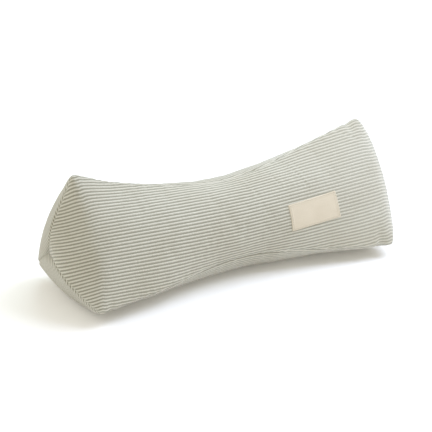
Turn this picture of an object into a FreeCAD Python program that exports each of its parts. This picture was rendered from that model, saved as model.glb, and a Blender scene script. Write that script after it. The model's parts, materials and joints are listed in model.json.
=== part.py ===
import FreeCAD, Part
import Sketcher
import math
import os

from FreeCAD import Placement, Rotation, Vector

# Nursing pillow: an hourglass with a triangular section, resting on its base.
# +X runs along the pillow, the front panel faces -Y and up, +Z is up.
# The origin is on the resting plane, under the middle of the pillow.

doc = FreeCAD.newDocument("NursingPillow")

# ---------------------------------------------------------------- sizes

SIZES = [
    ("end_side", 210, "side of the triangle at each end, corner to corner"),
    ("corner_span", 512, "distance between the two end triangles"),
    ("apex_rise", 40, "how far each end's middle stands out past its corners"),
    ("waist_radius", 73, "radius of the nearly round waist"),
    ("end_crown", 85, "from the pillow's axis to the middle of a panel, at the ends"),
    ("waist_sag", 12, "how far the waist's centre hangs under the axis"),
    ("waist_bend", 80, "how softly the ridge and the front lower seam bend at the waist"),
    ("rest_flat", 1.2, "depth pressed flat along the base"),
    ("cover_cloth", 2.0, "thickness of the quilted cover"),
    ("case_cloth", 1.0, "thickness of the inner case"),
    ("layer_gap", 0.3, "air between cover, inner case and filling"),
    ("label_length", 84, "label, along the pillow"),
    ("label_width", 42, "label, across the front panel"),
    ("label_cloth", 0.8, "thickness of the label"),
    ("label_lift", 0.1, "air under the label"),
    ("label_place", 130, "label's middle, from the pillow's middle"),
    ("label_drop", 22, "label's middle, below the front panel's middle line"),
    ("stitch_length", 2.4, "one stitch of the label"),
    ("stitch_pitch", 3.6, "from stitch to stitch"),
    ("stitch_thread", 0.5, "thickness of the label's thread"),
    ("stitch_inset", 2.5, "from the label's edge to its stitches"),
    ("stitch_lift", 0.15, "room between the curved label and a straight stitch"),
    ("zip_length", 336, "zip tape, end to end"),
    ("coil_length", 316, "zip coils, end to end"),
    ("tape_width", 7.6, "one tape, from its coil's inner edge outward"),
    ("tape_cloth", 0.7, "thickness of a tape"),
    ("tape_depth", 0.2, "tape's outer face, under the seam line"),
    ("chain_gap", 1.3, "room between the two coils for the slider's web"),
    ("coil_width", 2.3, "one row of coil loops"),
    ("coil_height", 2.0, "coil loops, above the tape"),
    ("zip_clearance", 0.3, "room round the tapes and inside the slider"),
    ("slider_length", 10, "slider, along the zip"),
    ("slider_width", 9.4, "slider, across the zip"),
    ("slider_plate", 1.0, "thickness of the slider's top plate"),
    ("low_plate", 0.7, "thickness of the slider's lower plate"),
    ("web_length", 3, "slider's web, along the zip"),
    ("arch_length", 6, "slider's arch, along the zip"),
    ("arch_width", 2.8, "slider's arch, across the zip"),
    ("arch_height", 3.2, "slider's arch, above the top plate"),
    ("arch_wall", 1.0, "thickness of the arch"),
    ("pull_length", 26, "pull tab, from its bar's axis to its tip"),
    ("pull_width", 7, "pull tab, across"),
    ("pull_tip", 4.6, "pull tab's tip, across"),
    ("pull_plate", 1.2, "thickness of the pull tab"),
    ("pull_bar", 1.3, "diameter of the pull tab's bar"),
    ("pull_window", 4.6, "pull tab's window, from the bar's axis"),
    ("stop_length", 2.4, "one zip stop, along the zip"),
]

sheet = doc.addObject("Spreadsheet::Sheet", "Sizes")
for row, (alias, value, meaning) in enumerate(SIZES, start=1):
    sheet.set(f"A{row}", meaning)
    sheet.set(f"B{row}", str(value))
    sheet.setAlias(f"B{row}", alias)
doc.recompute()


def size(alias):
    """The value of one cell of the sheet."""
    return float(sheet.get(alias))


# ---------------------------------------------------------------- the pillow's form
# Each cross-section is a rounded triangle: three corners, where the panels are
# sewn together, joined by three arcs that each pass through a panel's crown.

CORNER_ANGLES = (90, 210, 330)
REAR_LOW = 2
CROWN_ANGLES = (150, 270, 30)
PANELS = {"front": 0, "base": 1, "back": 2}

HALF_SPAN = size("corner_span") / 2
CORNER_RADIUS = size("end_side") / math.sqrt(3)
AXIS_HEIGHT = size("end_crown") - size("rest_flat")
CORNER_INSET_RATIO = 1.2
BODY_STATIONS = 11
CAP_STATIONS = (0, 0.25, 0.5, 0.75, 0.92)
CAP_CORNER_POWER = 0.45
CAP_CROWN_POWER = 0.5


def polar(radius, degrees):
    """A point in a cross-section, as (across, up) from the pillow's axis."""
    angle = math.radians(degrees)
    return Vector(0, radius * math.cos(angle), radius * math.sin(angle))


WAIST_CENTRE = Vector(0, 0, -size("waist_sag"))


def end_corner(corner, inset=0):
    return polar(CORNER_RADIUS - CORNER_INSET_RATIO * inset, CORNER_ANGLES[corner])


def end_crown(panel, inset=0):
    return polar(size("end_crown") - inset, CROWN_ANGLES[panel])


def waist_direction(corner):
    """Unit vector from the waist's centre towards a seam."""
    return (end_corner(corner) - WAIST_CENTRE).normalize()


def waist_corner(corner, inset=0):
    return WAIST_CENTRE + waist_direction(corner) * (size("waist_radius") - inset)


def waist_crown(panel, inset=0):
    seams = waist_direction(panel) + waist_direction((panel + 1) % 3)
    return WAIST_CENTRE + seams.normalize() * (size("waist_radius") - inset)


# The rear lower seam is held by its zip and flares along one arc from end to end.
SEAM_RISE = (end_corner(REAR_LOW) - waist_corner(REAR_LOW)).Length
SEAM_RADIUS = (HALF_SPAN**2 + SEAM_RISE**2) / (2 * SEAM_RISE)


def flare(x, corner):
    """How far a seam has flared: 0 at the waist and 1 at the end triangles.

    The two seams without a zip pull in closer to the waist, as a hyperbola."""
    if corner == REAR_LOW:
        return (SEAM_RADIUS - math.sqrt(SEAM_RADIUS**2 - x**2)) / SEAM_RISE
    bend = size("waist_bend")
    return (math.hypot(x, bend) - bend) / (math.hypot(HALF_SPAN, bend) - bend)


def placed(x, point):
    """A cross-section's point, in the pillow's frame."""
    return Vector(x, point.y, point.z + AXIS_HEIGHT)


def body_points(x, panel, inset=0):
    """First corner, crown and second corner of a panel's arc, between the end triangles."""
    after = (panel + 1) % 3
    first, last = flare(x, panel), flare(x, after)
    ways = (
        (waist_corner(panel, inset), end_corner(panel, inset), first),
        (waist_crown(panel, inset), end_crown(panel, inset), (first + last) / 2),
        (waist_corner(after, inset), end_corner(after, inset), last),
    )
    return [placed(x, waist + (end - waist) * share) for waist, end, share in ways]


def cap_points(side, depth, panel, inset=0):
    """The same three points past an end triangle, at a share of the cap's depth."""
    x = side * (HALF_SPAN + depth * (size("apex_rise") - inset))
    corner_share = (1 - depth) ** CAP_CORNER_POWER
    crown_share = (1 - depth) ** CAP_CROWN_POWER
    after = (panel + 1) % 3
    return [
        placed(x, end_corner(panel, inset) * corner_share),
        placed(x, end_crown(panel, inset) * crown_share),
        placed(x, end_corner(after, inset) * corner_share),
    ]


def arc(points):
    return Part.Arc(*points).toShape()


def line(start, end):
    return Part.LineSegment(start, end).toShape()


def body_places():
    return [HALF_SPAN * (2 * n / (BODY_STATIONS - 1) - 1) for n in range(BODY_STATIONS)]


def strip(panel, outer, inner):
    """A panel's cloth between two insets, from one end triangle to the other."""
    wires = []
    for x in body_places():
        over = body_points(x, panel, outer)
        under = body_points(x, panel, inner)
        wires.append(
            Part.Wire([arc(over), line(over[2], under[2]), arc(under[::-1]), line(under[0], over[0])])
        )
    return Part.makeLoft(wires, True)


def cap_apex(side, inset=0):
    return placed(side * (HALF_SPAN + size("apex_rise") - inset), Vector())


def cap_sector(side, panel, inset=0):
    """One third of an end cap, from its outer face to the pillow's axis."""
    wires = []
    for depth in CAP_STATIONS:
        first, crown, last = cap_points(side, depth, panel, inset)
        axis = placed(first.x, Vector())
        wires.append(Part.Wire([line(axis, first), arc((first, crown, last)), line(last, axis)]))
    return Part.makeLoft(wires + [Part.Vertex(cap_apex(side, inset))], True)


def cap(side, inset=0):
    """A whole end cap."""
    wires = [
        Part.Wire([arc(cap_points(side, depth, panel, inset)) for panel in range(3)])
        for depth in CAP_STATIONS
    ]
    return Part.makeLoft(wires + [Part.Vertex(cap_apex(side, inset))], True)


def body(inset=0):
    """The whole pillow between its end triangles."""
    wires = [
        Part.Wire([arc(body_points(x, panel, inset)) for panel in range(3)]) for x in body_places()
    ]
    return Part.makeLoft(wires, True)


def above_floor(shape):
    """The part of a shape that stands on or over the resting plane, as one solid."""
    reach = size("corner_span")
    half_space = Part.makeBox(2 * reach, reach, reach, Vector(-reach, -reach / 2, 0))
    return shape.common(half_space).Solids[0]


def panel_cloth(panel, outer, inner):
    """A whole panel: its long middle and the triangular flap at each end."""
    cloth = strip(panel, outer, inner)
    for side in (-1, 1):
        cloth = cloth.fuse(cap_sector(side, panel, outer).cut(cap(side, inner)))
    return cloth


# ---------------------------------------------------------------- document helpers

nodes = []


def keep(obj, name):
    """Names a finished sub-part and adds it to the list that is written out."""
    obj.Label = name
    nodes.append(obj)
    return obj


def feature(name, shape, placement=None):
    """A sub-part whose shape comes from Part's own functions."""
    obj = doc.addObject("Part::Feature", name)
    obj.Shape = shape
    obj.Placement = placement or Placement()
    return obj


def new_body(name, placement):
    made = doc.addObject("PartDesign::Body", name)
    made.Placement = placement
    return made


def new_sketch(owner, name, role, offset=0):
    """A sketch on one of a body's origin planes, moved along the plane's normal."""
    sketch = owner.newObject("Sketcher::SketchObject", name)
    plane = next(f for f in owner.Origin.OriginFeatures if f.Role == role)
    sketch.AttachmentSupport = [(plane, "")]
    sketch.MapMode = "FlatFace"
    sketch.AttachmentOffset = Placement(Vector(0, 0, offset), Rotation())
    return sketch


def closed_outline(sketch, points, prefix):
    """A closed outline of straight lines. Each point is a pair of formulas in the sheet's cells."""
    first = sketch.GeometryCount
    count = len(points)
    for n in range(count):
        start = Vector(n, n % 2, 0)
        end = Vector((n + 1) % count, (n + 1) % 2, 0)
        sketch.addGeometry(Part.LineSegment(start, end), False)
    for n, (across, along) in enumerate(points):
        edge = first + n
        before = first + (n - 1) % count
        sketch.addConstraint(Sketcher.Constraint("Coincident", before, 2, edge, 1))
        for kind, formula in (("DistanceX", across), ("DistanceY", along)):
            index = sketch.addConstraint(Sketcher.Constraint(kind, -1, 1, edge, 1, 1.0))
            label = f"{prefix}{n}_{kind[-1]}"
            sketch.renameConstraint(index, label)
            sketch.setExpression(f"Constraints.{label}", formula)


def rectangle(sketch, left, right, low, high, prefix="p"):
    corners = [(left, low), (right, low), (right, high), (left, high)]
    closed_outline(sketch, corners, prefix)


def pad(owner, name, sketch, length):
    """A pad to both sides of its sketch, its whole length a formula."""
    made = owner.newObject("PartDesign::Pad", name)
    made.Profile = sketch
    made.SideType = "Symmetric"
    made.setExpression("Length", length)
    return made


def pocket(owner, name, sketch, length):
    """A pocket to both sides of its sketch. It must take material away."""
    doc.recompute()
    before = owner.Shape.Volume
    made = owner.newObject("PartDesign::Pocket", name)
    made.Profile = sketch
    made.SideType = "Symmetric"
    made.setExpression("Length", length)
    doc.recompute()
    if owner.Shape.Volume >= before:
        raise RuntimeError(f"{name} cut nothing")
    return made


def sized_box(name, sizes, placement):
    """A Part box whose three sizes are formulas in the sheet's cells."""
    made = doc.addObject("Part::Box", name)
    for side, formula in zip(("Length", "Width", "Height"), sizes):
        made.setExpression(side, formula)
    made.Placement = placement
    return made


# ---------------------------------------------------------------- zip frame
# The zip lies in the rear lower seam. In its own frame the seam's lowest point is
# the origin, Y points out of the pillow, Z points across the seam towards the back
# panel, and the seam bends round an axis parallel to Z at Y = SEAM_RADIUS.

OUTWARD = waist_direction(REAR_LOW)
ZIP_TILT = math.degrees(math.atan2(OUTWARD.z, OUTWARD.y))
ZIP_FRAME = Placement(placed(0, waist_corner(REAR_LOW)), Rotation(Vector(1, 0, 0), ZIP_TILT))
BEND_CENTRE = Vector(0, SEAM_RADIUS, 0)


def bend_angle(distance):
    """How far round the bend a place along the seam is, in degrees."""
    return math.degrees(math.asin(distance / SEAM_RADIUS))


def along_zip(distance):
    """The zip frame, carried round the bend to a place along the seam."""
    turn = Placement(Vector(), Rotation(Vector(0, 0, 1), bend_angle(distance)), BEND_CENTRE)
    return ZIP_FRAME * turn


def bent_bar(name, low, high, under, over, length):
    """A bar of rectangular section that follows the seam."""
    owner = new_body(name, ZIP_FRAME)
    sketch = new_sketch(owner, f"{name}_section", "YZ_Plane")
    rectangle(sketch, under, over, low, high)
    axis = sketch.addGeometry(
        Part.LineSegment(Vector(SEAM_RADIUS, -1, 0), Vector(SEAM_RADIUS, 1, 0)), True
    )
    sketch.addConstraint(Sketcher.Constraint("Vertical", axis))
    place = sketch.addConstraint(Sketcher.Constraint("DistanceX", -1, 1, axis, 1, SEAM_RADIUS))
    sketch.renameConstraint(place, "bend_radius")
    made = owner.newObject("PartDesign::Revolution", f"{name}_bend")
    made.Profile = sketch
    made.ReferenceAxis = (sketch, ["Axis0"])
    made.Midplane = True
    made.Angle = 2 * bend_angle(length / 2)
    return owner


# ---------------------------------------------------------------- cover and inner case

COVER_IN = size("cover_cloth")
CASE_OUT = COVER_IN + size("layer_gap")
CASE_IN = CASE_OUT + size("case_cloth")
FILLING_OUT = CASE_IN + size("layer_gap")


def zip_channel():
    """The room that the zip takes in the seam between the back and base panels."""
    half = size("chain_gap") / 2 + size("tape_width") + size("zip_clearance")
    depth = size("end_crown") - size("waist_radius")
    outline = [
        Vector(0, -depth, -half),
        Vector(0, depth, -half),
        Vector(0, depth, half),
        Vector(0, -depth, half),
        Vector(0, -depth, -half),
    ]
    turn = bend_angle(size("zip_length") / 2 + size("zip_clearance"))
    face = Part.Face(Part.makePolygon(outline))
    face.rotate(BEND_CENTRE, Vector(0, 0, 1), -turn)
    channel = face.revolve(BEND_CENTRE, Vector(0, 0, 1), 2 * turn)
    channel.Placement = ZIP_FRAME
    return channel


def cover_panels():
    channel = zip_channel()
    for name, panel in PANELS.items():
        cloth = above_floor(panel_cloth(panel, 0, COVER_IN))
        if name != "front":
            cloth = cloth.cut(channel).Solids[0]
        keep(feature(f"CoverPanel_{name}", cloth), f"cover_{name}_panel")


def inner_case():
    for name, panel in PANELS.items():
        cloth = panel_cloth(panel, CASE_OUT, CASE_IN).Solids[0]
        keep(feature(f"CasePanel_{name}", cloth), f"inner_case_{name}_panel")


def filling():
    core = body(FILLING_OUT)
    for side in (-1, 1):
        core = core.fuse(cap(side, FILLING_OUT))
    keep(feature("Filling", core.Solids[0]), "filling_core")


# ---------------------------------------------------------------- label


def on_front_panel(x, drop, lift):
    """A point over the front panel, and the directions across it and away from it.

    drop is measured along the panel's arc, down from its crown."""
    edge = arc(body_points(x, PANELS["front"], -lift))
    middle = sum(edge.ParameterRange) / 2
    point = edge.valueAt(middle + drop / edge.Curve.Radius)
    out = (point - edge.Curve.Center).normalize()
    down = Vector(1, 0, 0).cross(out) * -1
    return point, down, out


def label_frame(across, down, lift):
    """A placement on the label: X along the pillow, Y up the panel, Z away from it."""
    x = size("label_place") + across
    point, downhill, out = on_front_panel(x, size("label_drop") + down, lift)
    ahead = on_front_panel(x + 1, size("label_drop") + down, lift)[0]
    along = (ahead - point).normalize()
    return Placement(point, Rotation(along, downhill * -1, out, "ZXY"))


def label():
    lift = size("label_lift")
    layer = feature("LabelLayer", strip(PANELS["front"], -lift - size("label_cloth"), -lift))
    middle = label_frame(0, 0, 0)
    outline = sized_box(
        "LabelOutline",
        ("Sizes.label_length", "Sizes.label_width", "Sizes.label_width"),
        Placement(),
    )
    corner = Vector(-size("label_length") / 2, -size("label_width") / 2, -size("label_width") / 2)
    outline.Placement = middle * Placement(corner, Rotation())
    patch = doc.addObject("Part::MultiCommon", "LabelPatch")
    patch.Shapes = [layer, outline]
    keep(patch, "label_patch")


def label_stitches():
    """A row of stitches round the label, inside its edge."""
    half_length = size("label_length") / 2 - size("stitch_inset")
    half_width = size("label_width") / 2 - size("stitch_inset")
    places = []
    for half, other, turned in ((half_length, half_width, False), (half_width, half_length, True)):
        count = int(2 * half / size("stitch_pitch"))
        for n in range(count):
            run = (n + 0.5 - count / 2) * size("stitch_pitch")
            for edge in (-other, other):
                places.append((edge, run, turned) if turned else (run, edge, turned))
    thread = size("stitch_thread")
    length = size("stitch_length")
    lift = size("label_lift") + size("label_cloth") + size("stitch_lift")
    stitches = []
    for across, down, turned in places:
        stitch = Part.makeBox(length, thread, thread, Vector(-length / 2, -thread / 2, 0))
        turn = Placement(Vector(), Rotation(Vector(0, 0, 1), 90 if turned else 0))
        stitch.Placement = label_frame(across, down, lift) * turn
        stitches.append(stitch)
    keep(feature("LabelStitches", Part.makeCompound(stitches)), "label_stitches")


# ---------------------------------------------------------------- zip

TAPE_OVER = "-Sizes.tape_depth"
TAPE_UNDER = "-Sizes.tape_depth - Sizes.tape_cloth"
COIL_OVER = "Sizes.coil_height - Sizes.tape_depth"
CHAIN_EDGE = "Sizes.chain_gap / 2"
TOP_PLATE_UNDER = f"{COIL_OVER} + Sizes.zip_clearance"
TOP_PLATE_OVER = f"{TOP_PLATE_UNDER} + Sizes.slider_plate"
LOW_PLATE_OVER = f"{TAPE_UNDER} - Sizes.zip_clearance"
LOW_PLATE_UNDER = f"{LOW_PLATE_OVER} - Sizes.low_plate"


def zip_tapes():
    edge = f"{CHAIN_EDGE} + Sizes.tape_width"
    upper = bent_bar("TapeUpper", CHAIN_EDGE, edge, TAPE_UNDER, TAPE_OVER, size("zip_length"))
    lower = bent_bar(
        "TapeLower", f"-({edge})", f"-{CHAIN_EDGE}", TAPE_UNDER, TAPE_OVER, size("zip_length")
    )
    keep(upper, "zip_tape_upper")
    keep(lower, "zip_tape_lower")


def zip_coils():
    edge = f"{CHAIN_EDGE} + Sizes.coil_width"
    upper = bent_bar("CoilUpper", CHAIN_EDGE, edge, TAPE_OVER, COIL_OVER, size("coil_length"))
    lower = bent_bar(
        "CoilLower", f"-({edge})", f"-{CHAIN_EDGE}", TAPE_OVER, COIL_OVER, size("coil_length")
    )
    keep(upper, "zip_coil_upper")
    keep(lower, "zip_coil_lower")


SLIDER_PLACE = size("coil_length") / 2 - size("slider_length") / 2 - size("stop_length") / 2


def zip_slider():
    """Two plates joined by a web, with side walls round the coils and an arch on top."""
    owner = new_body("Slider", along_zip(SLIDER_PLACE))
    wall = "Sizes.slider_width / 2"
    coil_side = f"{CHAIN_EDGE} + Sizes.coil_width + Sizes.zip_clearance"
    wall_foot = f"{TAPE_OVER} + Sizes.zip_clearance"

    shell = new_sketch(owner, "slider_shell", "YZ_Plane")
    shell_outline = [
        (wall_foot, f"-{wall}"),
        (wall_foot, f"-({coil_side})"),
        (TOP_PLATE_UNDER, f"-({coil_side})"),
        (TOP_PLATE_UNDER, coil_side),
        (wall_foot, coil_side),
        (wall_foot, wall),
        (TOP_PLATE_OVER, wall),
        (TOP_PLATE_OVER, f"-{wall}"),
    ]
    closed_outline(shell, shell_outline, "shell")
    pad(owner, "slider_shell_pad", shell, "Sizes.slider_length")

    nose = size("slider_length") / 2 - size("web_length") / 2
    web = new_sketch(owner, "slider_web", "YZ_Plane", nose)
    web_side = "Sizes.chain_gap / 2 - Sizes.zip_clearance"
    rectangle(web, LOW_PLATE_UNDER, TOP_PLATE_UNDER, f"-({web_side})", web_side)
    pad(owner, "slider_web_pad", web, "Sizes.web_length")

    plate = new_sketch(owner, "slider_low_plate", "YZ_Plane")
    rectangle(plate, LOW_PLATE_UNDER, LOW_PLATE_OVER, f"-{wall}", wall)
    pad(owner, "slider_low_plate_pad", plate, "Sizes.slider_length")

    arch = new_sketch(owner, "slider_arch", "XY_Plane")
    half_arch = "Sizes.arch_length / 2"
    arch_top = f"{TOP_PLATE_OVER} + Sizes.arch_height"
    rectangle(arch, f"-{half_arch}", half_arch, TOP_PLATE_OVER, arch_top)
    pad(owner, "slider_arch_pad", arch, "Sizes.arch_width")

    eye = new_sketch(owner, "slider_eye", "XY_Plane")
    half_eye = f"({half_arch} - Sizes.arch_wall)"
    rectangle(eye, f"-{half_eye}", half_eye, TOP_PLATE_OVER, f"{arch_top} - Sizes.arch_wall")
    pocket(owner, "slider_eye_pocket", eye, "Sizes.arch_width * 2")
    keep(owner, "zip_slider")


PULL_AXIS = (
    size("coil_height")
    - size("tape_depth")
    + size("zip_clearance")
    + size("slider_plate")
    + (size("arch_height") - size("arch_wall")) / 2
)


def zip_pull():
    """A flat tab whose window goes round the slider's arch, with a bar through the arch."""
    owner = new_body("Pull", along_zip(SLIDER_PLACE) * Placement(Vector(0, PULL_AXIS, 0), Rotation()))
    half = "Sizes.pull_width / 2"
    arm = "Sizes.arch_width / 2 + Sizes.zip_clearance"
    back = "Sizes.pull_bar / 2"
    tab = new_sketch(owner, "pull_outline", "XZ_Plane")
    half_tip = "Sizes.pull_tip / 2"
    tab_outline = [
        (back, f"-{half}"),
        (back, half),
        ("-Sizes.pull_window", half),
        ("-Sizes.pull_length", half_tip),
        ("-Sizes.pull_length", f"-{half_tip}"),
        ("-Sizes.pull_window", f"-{half}"),
    ]
    closed_outline(tab, tab_outline, "tab")
    pad(owner, "pull_pad", tab, "Sizes.pull_plate")
    window = new_sketch(owner, "pull_window", "XZ_Plane")
    rectangle(window, "-Sizes.pull_window", back, f"-({arm})", arm)
    doc.recompute()
    pocket(owner, "pull_window_pocket", window, "Sizes.pull_plate * 2")
    bar = new_sketch(owner, "pull_bar", "XY_Plane")
    circle = bar.addGeometry(Part.Circle(Vector(), Vector(0, 0, 1), size("pull_bar") / 2), False)
    bar.addConstraint(Sketcher.Constraint("Coincident", circle, 3, -1, 1))
    bar_size = bar.addConstraint(Sketcher.Constraint("Diameter", circle, size("pull_bar")))
    bar.renameConstraint(bar_size, "bar_size")
    bar.setExpression("Constraints.bar_size", "Sizes.pull_bar")
    pad(owner, "pull_bar_pad", bar, "Sizes.pull_width")
    keep(owner, "zip_pull")


def zip_stops():
    """Two top stops, one on each tape, and a bottom stop across both."""
    place = (size("zip_length") + size("coil_length")) / 4
    gap = size("chain_gap") / 2
    width = size("coil_width")
    low = -size("tape_depth")
    sizes = (size("stop_length"), size("coil_height"))
    tops = []
    for foot in (gap, -gap - width):
        block = Part.makeBox(sizes[0], sizes[1], width, Vector(-sizes[0] / 2, low, foot))
        block.Placement = along_zip(place)
        tops.append(block)
    keep(feature("TopStops", Part.makeCompound(tops)), "zip_top_stops")
    bottom = sized_box(
        "BottomStop",
        ("Sizes.stop_length", "Sizes.coil_height", "Sizes.chain_gap + 2 * Sizes.coil_width"),
        along_zip(-place) * Placement(Vector(-sizes[0] / 2, low, -gap - width), Rotation()),
    )
    keep(bottom, "zip_bottom_stop")


# ---------------------------------------------------------------- build, check and write


def check_document():
    for obj in doc.Objects:
        if "Invalid" in obj.State or "Error" in obj.State:
            raise RuntimeError(f"{obj.Name} failed: {obj.State}")
    for node in nodes:
        if node.Shape.isNull() or not node.Shape.isValid():
            raise RuntimeError(f"{node.Label} has no valid shape")


def write_parts():
    os.makedirs("parts", exist_ok=True)
    for node in nodes:
        node.Shape.exportStep(f"parts/{node.Label}.step")
        print(f"{node.Label}: {len(node.Shape.Solids)} solid(s), {node.Shape.Volume:.1f} mm3")


cover_panels()
label()
label_stitches()
zip_tapes()
zip_coils()
zip_slider()
zip_pull()
zip_stops()
inner_case()
filling()
doc.recompute()
check_document()
write_parts()
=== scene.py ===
import json
import math

import bmesh
import bpy
import numpy as np
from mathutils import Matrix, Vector


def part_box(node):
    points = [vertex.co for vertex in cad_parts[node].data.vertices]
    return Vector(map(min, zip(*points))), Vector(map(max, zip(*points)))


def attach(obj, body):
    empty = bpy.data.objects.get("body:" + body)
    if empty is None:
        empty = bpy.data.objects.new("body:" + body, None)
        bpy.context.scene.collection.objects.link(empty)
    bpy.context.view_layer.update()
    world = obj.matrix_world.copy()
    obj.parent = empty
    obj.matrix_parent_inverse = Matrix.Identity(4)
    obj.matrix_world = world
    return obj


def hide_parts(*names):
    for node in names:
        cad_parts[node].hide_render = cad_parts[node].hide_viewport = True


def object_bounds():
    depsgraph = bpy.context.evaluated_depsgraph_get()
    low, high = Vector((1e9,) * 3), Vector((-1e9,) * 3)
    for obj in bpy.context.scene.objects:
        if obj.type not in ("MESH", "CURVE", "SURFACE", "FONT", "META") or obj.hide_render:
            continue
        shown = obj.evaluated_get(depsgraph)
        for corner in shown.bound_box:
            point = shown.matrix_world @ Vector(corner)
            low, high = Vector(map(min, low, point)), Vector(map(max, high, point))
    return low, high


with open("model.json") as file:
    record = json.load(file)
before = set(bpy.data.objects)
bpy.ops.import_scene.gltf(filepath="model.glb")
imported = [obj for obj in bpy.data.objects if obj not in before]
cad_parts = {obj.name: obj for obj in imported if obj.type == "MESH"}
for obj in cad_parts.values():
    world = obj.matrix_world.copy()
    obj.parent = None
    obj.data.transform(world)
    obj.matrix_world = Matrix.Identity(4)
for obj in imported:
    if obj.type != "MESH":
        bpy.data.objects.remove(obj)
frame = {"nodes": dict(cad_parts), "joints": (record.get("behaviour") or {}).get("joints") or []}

# Looks of a striped nursing pillow: an hourglass with a triangular section, sewn from
# three panels, with a blank label and a zip in the rear lower seam. Metres, +X along
# the pillow, the front panel faces -Y and up.

CAD_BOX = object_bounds()
PILLOW = "pillow"
SLIDER = "slider"
PULL = "pull"
PANELS = ("front", "base", "back")

# ---------------------------------------------------------------- the pillow's form
# The CAD panels' form, but with crowns at the ends that stand 3.5 mm less far out. Every
# cross-section is a triangle of three arcs.
# Corners 0, 1, 2 are the ridge, the front lower and the rear lower seam. Panel n runs
# from corner n to corner n + 1.

HALF_LENGTH = CAD_BOX[1].x
HALF_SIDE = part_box("cover_base_panel")[1].y
CORNER_RADIUS = HALF_SIDE * 2 / math.sqrt(3)
AXIS_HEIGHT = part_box("cover_front_panel")[1].z - CORNER_RADIUS
APEX_RISE = 0.040
HALF_SPAN = HALF_LENGTH - APEX_RISE
WAIST_RADIUS = 0.073
WAIST_SAG = 0.012
WAIST_BEND = 0.080
CROWN_RADIUS = 0.0815
CORNER_ANGLES = (90, 210, 330)
CROWN_ANGLES = (150, 270, 30)
REAR_LOW = 2
CAP_CORNER_POWER = 0.45
CAP_CROWN_POWER = 0.5


def unit(v):
    return v / np.linalg.norm(v, axis=-1, keepdims=True)


def polar(radius, degrees):
    angle = math.radians(degrees)
    return radius * np.array([math.cos(angle), math.sin(angle)])


WAIST_CENTRE = np.array([0.0, -WAIST_SAG])


def end_corner(corner):
    return polar(CORNER_RADIUS, CORNER_ANGLES[corner % 3])


def waist_direction(corner):
    return unit(end_corner(corner) - WAIST_CENTRE)


def waist_corner(corner):
    return WAIST_CENTRE + WAIST_RADIUS * waist_direction(corner)


def waist_crown(panel):
    return WAIST_CENTRE + WAIST_RADIUS * unit(waist_direction(panel) + waist_direction(panel + 1))


def end_crown(panel):
    return polar(CROWN_RADIUS, CROWN_ANGLES[panel])


SEAM_RISE = np.linalg.norm(end_corner(REAR_LOW) - waist_corner(REAR_LOW))
SEAM_RADIUS = (HALF_SPAN**2 + SEAM_RISE**2) / (2 * SEAM_RISE)


def flare(x, corner):
    """How far a seam has flared: 0 at the waist and 1 at the end triangles."""
    if corner % 3 == REAR_LOW:
        return (SEAM_RADIUS - np.sqrt(SEAM_RADIUS**2 - x**2)) / SEAM_RISE
    return (np.hypot(x, WAIST_BEND) - WAIST_BEND) / (math.hypot(HALF_SPAN, WAIST_BEND) - WAIST_BEND)


# A place along the pillow is a station: -1 to 1 between the end triangles, and on to
# -2 and 2 at the middles of the two ends.


def station_x(station):
    inside = np.clip(station, -1, 1)
    depth = np.abs(station) - np.abs(inside)
    return inside * HALF_SPAN + np.sign(station) * depth * APEX_RISE


def control_points(panel, station):
    """The three points that a panel's arc passes through, each an (n, 2) array."""
    inside = np.clip(station, -1, 1)
    depth = np.clip(np.abs(station) - np.abs(inside), 0, 1)
    first = flare(inside * HALF_SPAN, panel)[:, None]
    last = flare(inside * HALF_SPAN, panel + 1)[:, None]
    corner_scale = ((1 - depth) ** CAP_CORNER_POWER)[:, None]
    crown_scale = ((1 - depth) ** CAP_CROWN_POWER)[:, None]
    ways = (
        (waist_corner(panel), end_corner(panel), first, corner_scale),
        (waist_crown(panel), end_crown(panel), (first + last) / 2, crown_scale),
        (waist_corner(panel + 1), end_corner(panel + 1), last, corner_scale),
    )
    return [(waist + (end - waist) * share) * scale for waist, end, share, scale in ways]


def arcs(panel, station):
    """Centre, radius, first angle and sweep of a panel's arc at each station."""
    first, crown, last = control_points(panel, station)
    chord, spoke = last - first, crown - first
    cross = 2 * (chord[:, 0] * spoke[:, 1] - chord[:, 1] * spoke[:, 0])
    cross = np.where(np.abs(cross) < 1e-12, 1e-12, cross)
    chord2, spoke2 = (chord**2).sum(1), (spoke**2).sum(1)
    centre = first + np.stack(
        [
            (spoke[:, 1] * chord2 - chord[:, 1] * spoke2) / cross,
            (chord[:, 0] * spoke2 - spoke[:, 0] * chord2) / cross,
        ],
        1,
    )
    radius = np.linalg.norm(first - centre, axis=1)
    start = np.arctan2(*(first - centre).T[::-1])
    end = np.arctan2(*(last - centre).T[::-1])
    sweep = (end - start) % (2 * math.pi)
    return centre, radius, start, sweep


def surface(panel, station, across):
    """Points of the unsewn form: station is (n,), across is (n, m) from 0 to 1."""
    centre, radius, start, sweep = arcs(panel, station)
    angle = start[:, None] + sweep[:, None] * across
    y = centre[:, :1] + radius[:, None] * np.cos(angle)
    z = centre[:, 1:] + radius[:, None] * np.sin(angle) + AXIS_HEIGHT
    x = np.broadcast_to(station_x(station)[:, None], y.shape)
    return np.stack([x, y, z], -1)


def widths(panel, station):
    """A panel's width from seam to seam, measured over its arc."""
    _, radius, _, sweep = arcs(panel, station)
    return radius * sweep


def smooth(low, high, value):
    t = np.clip((value - low) / (high - low), 0, 1)
    return t * t * (3 - 2 * t)


def bump(value, width):
    """1 at 0, falling to 0 over about twice the width."""
    return np.exp(-((value / width) ** 2))


# ---------------------------------------------------------------- stuffing, by cloth simulation

COARSE_BODY = 84
COARSE_CAP = 9
COARSE_ACROSS = 28
STUFFING_PRESSURE = 4.0
CLOTH_EASE = 0.006
CLOTH_FRAMES = 20
MOST_SWELL = 0.003
CALMING_PASSES = 12
WRINKLES_KEPT = 0.3


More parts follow.
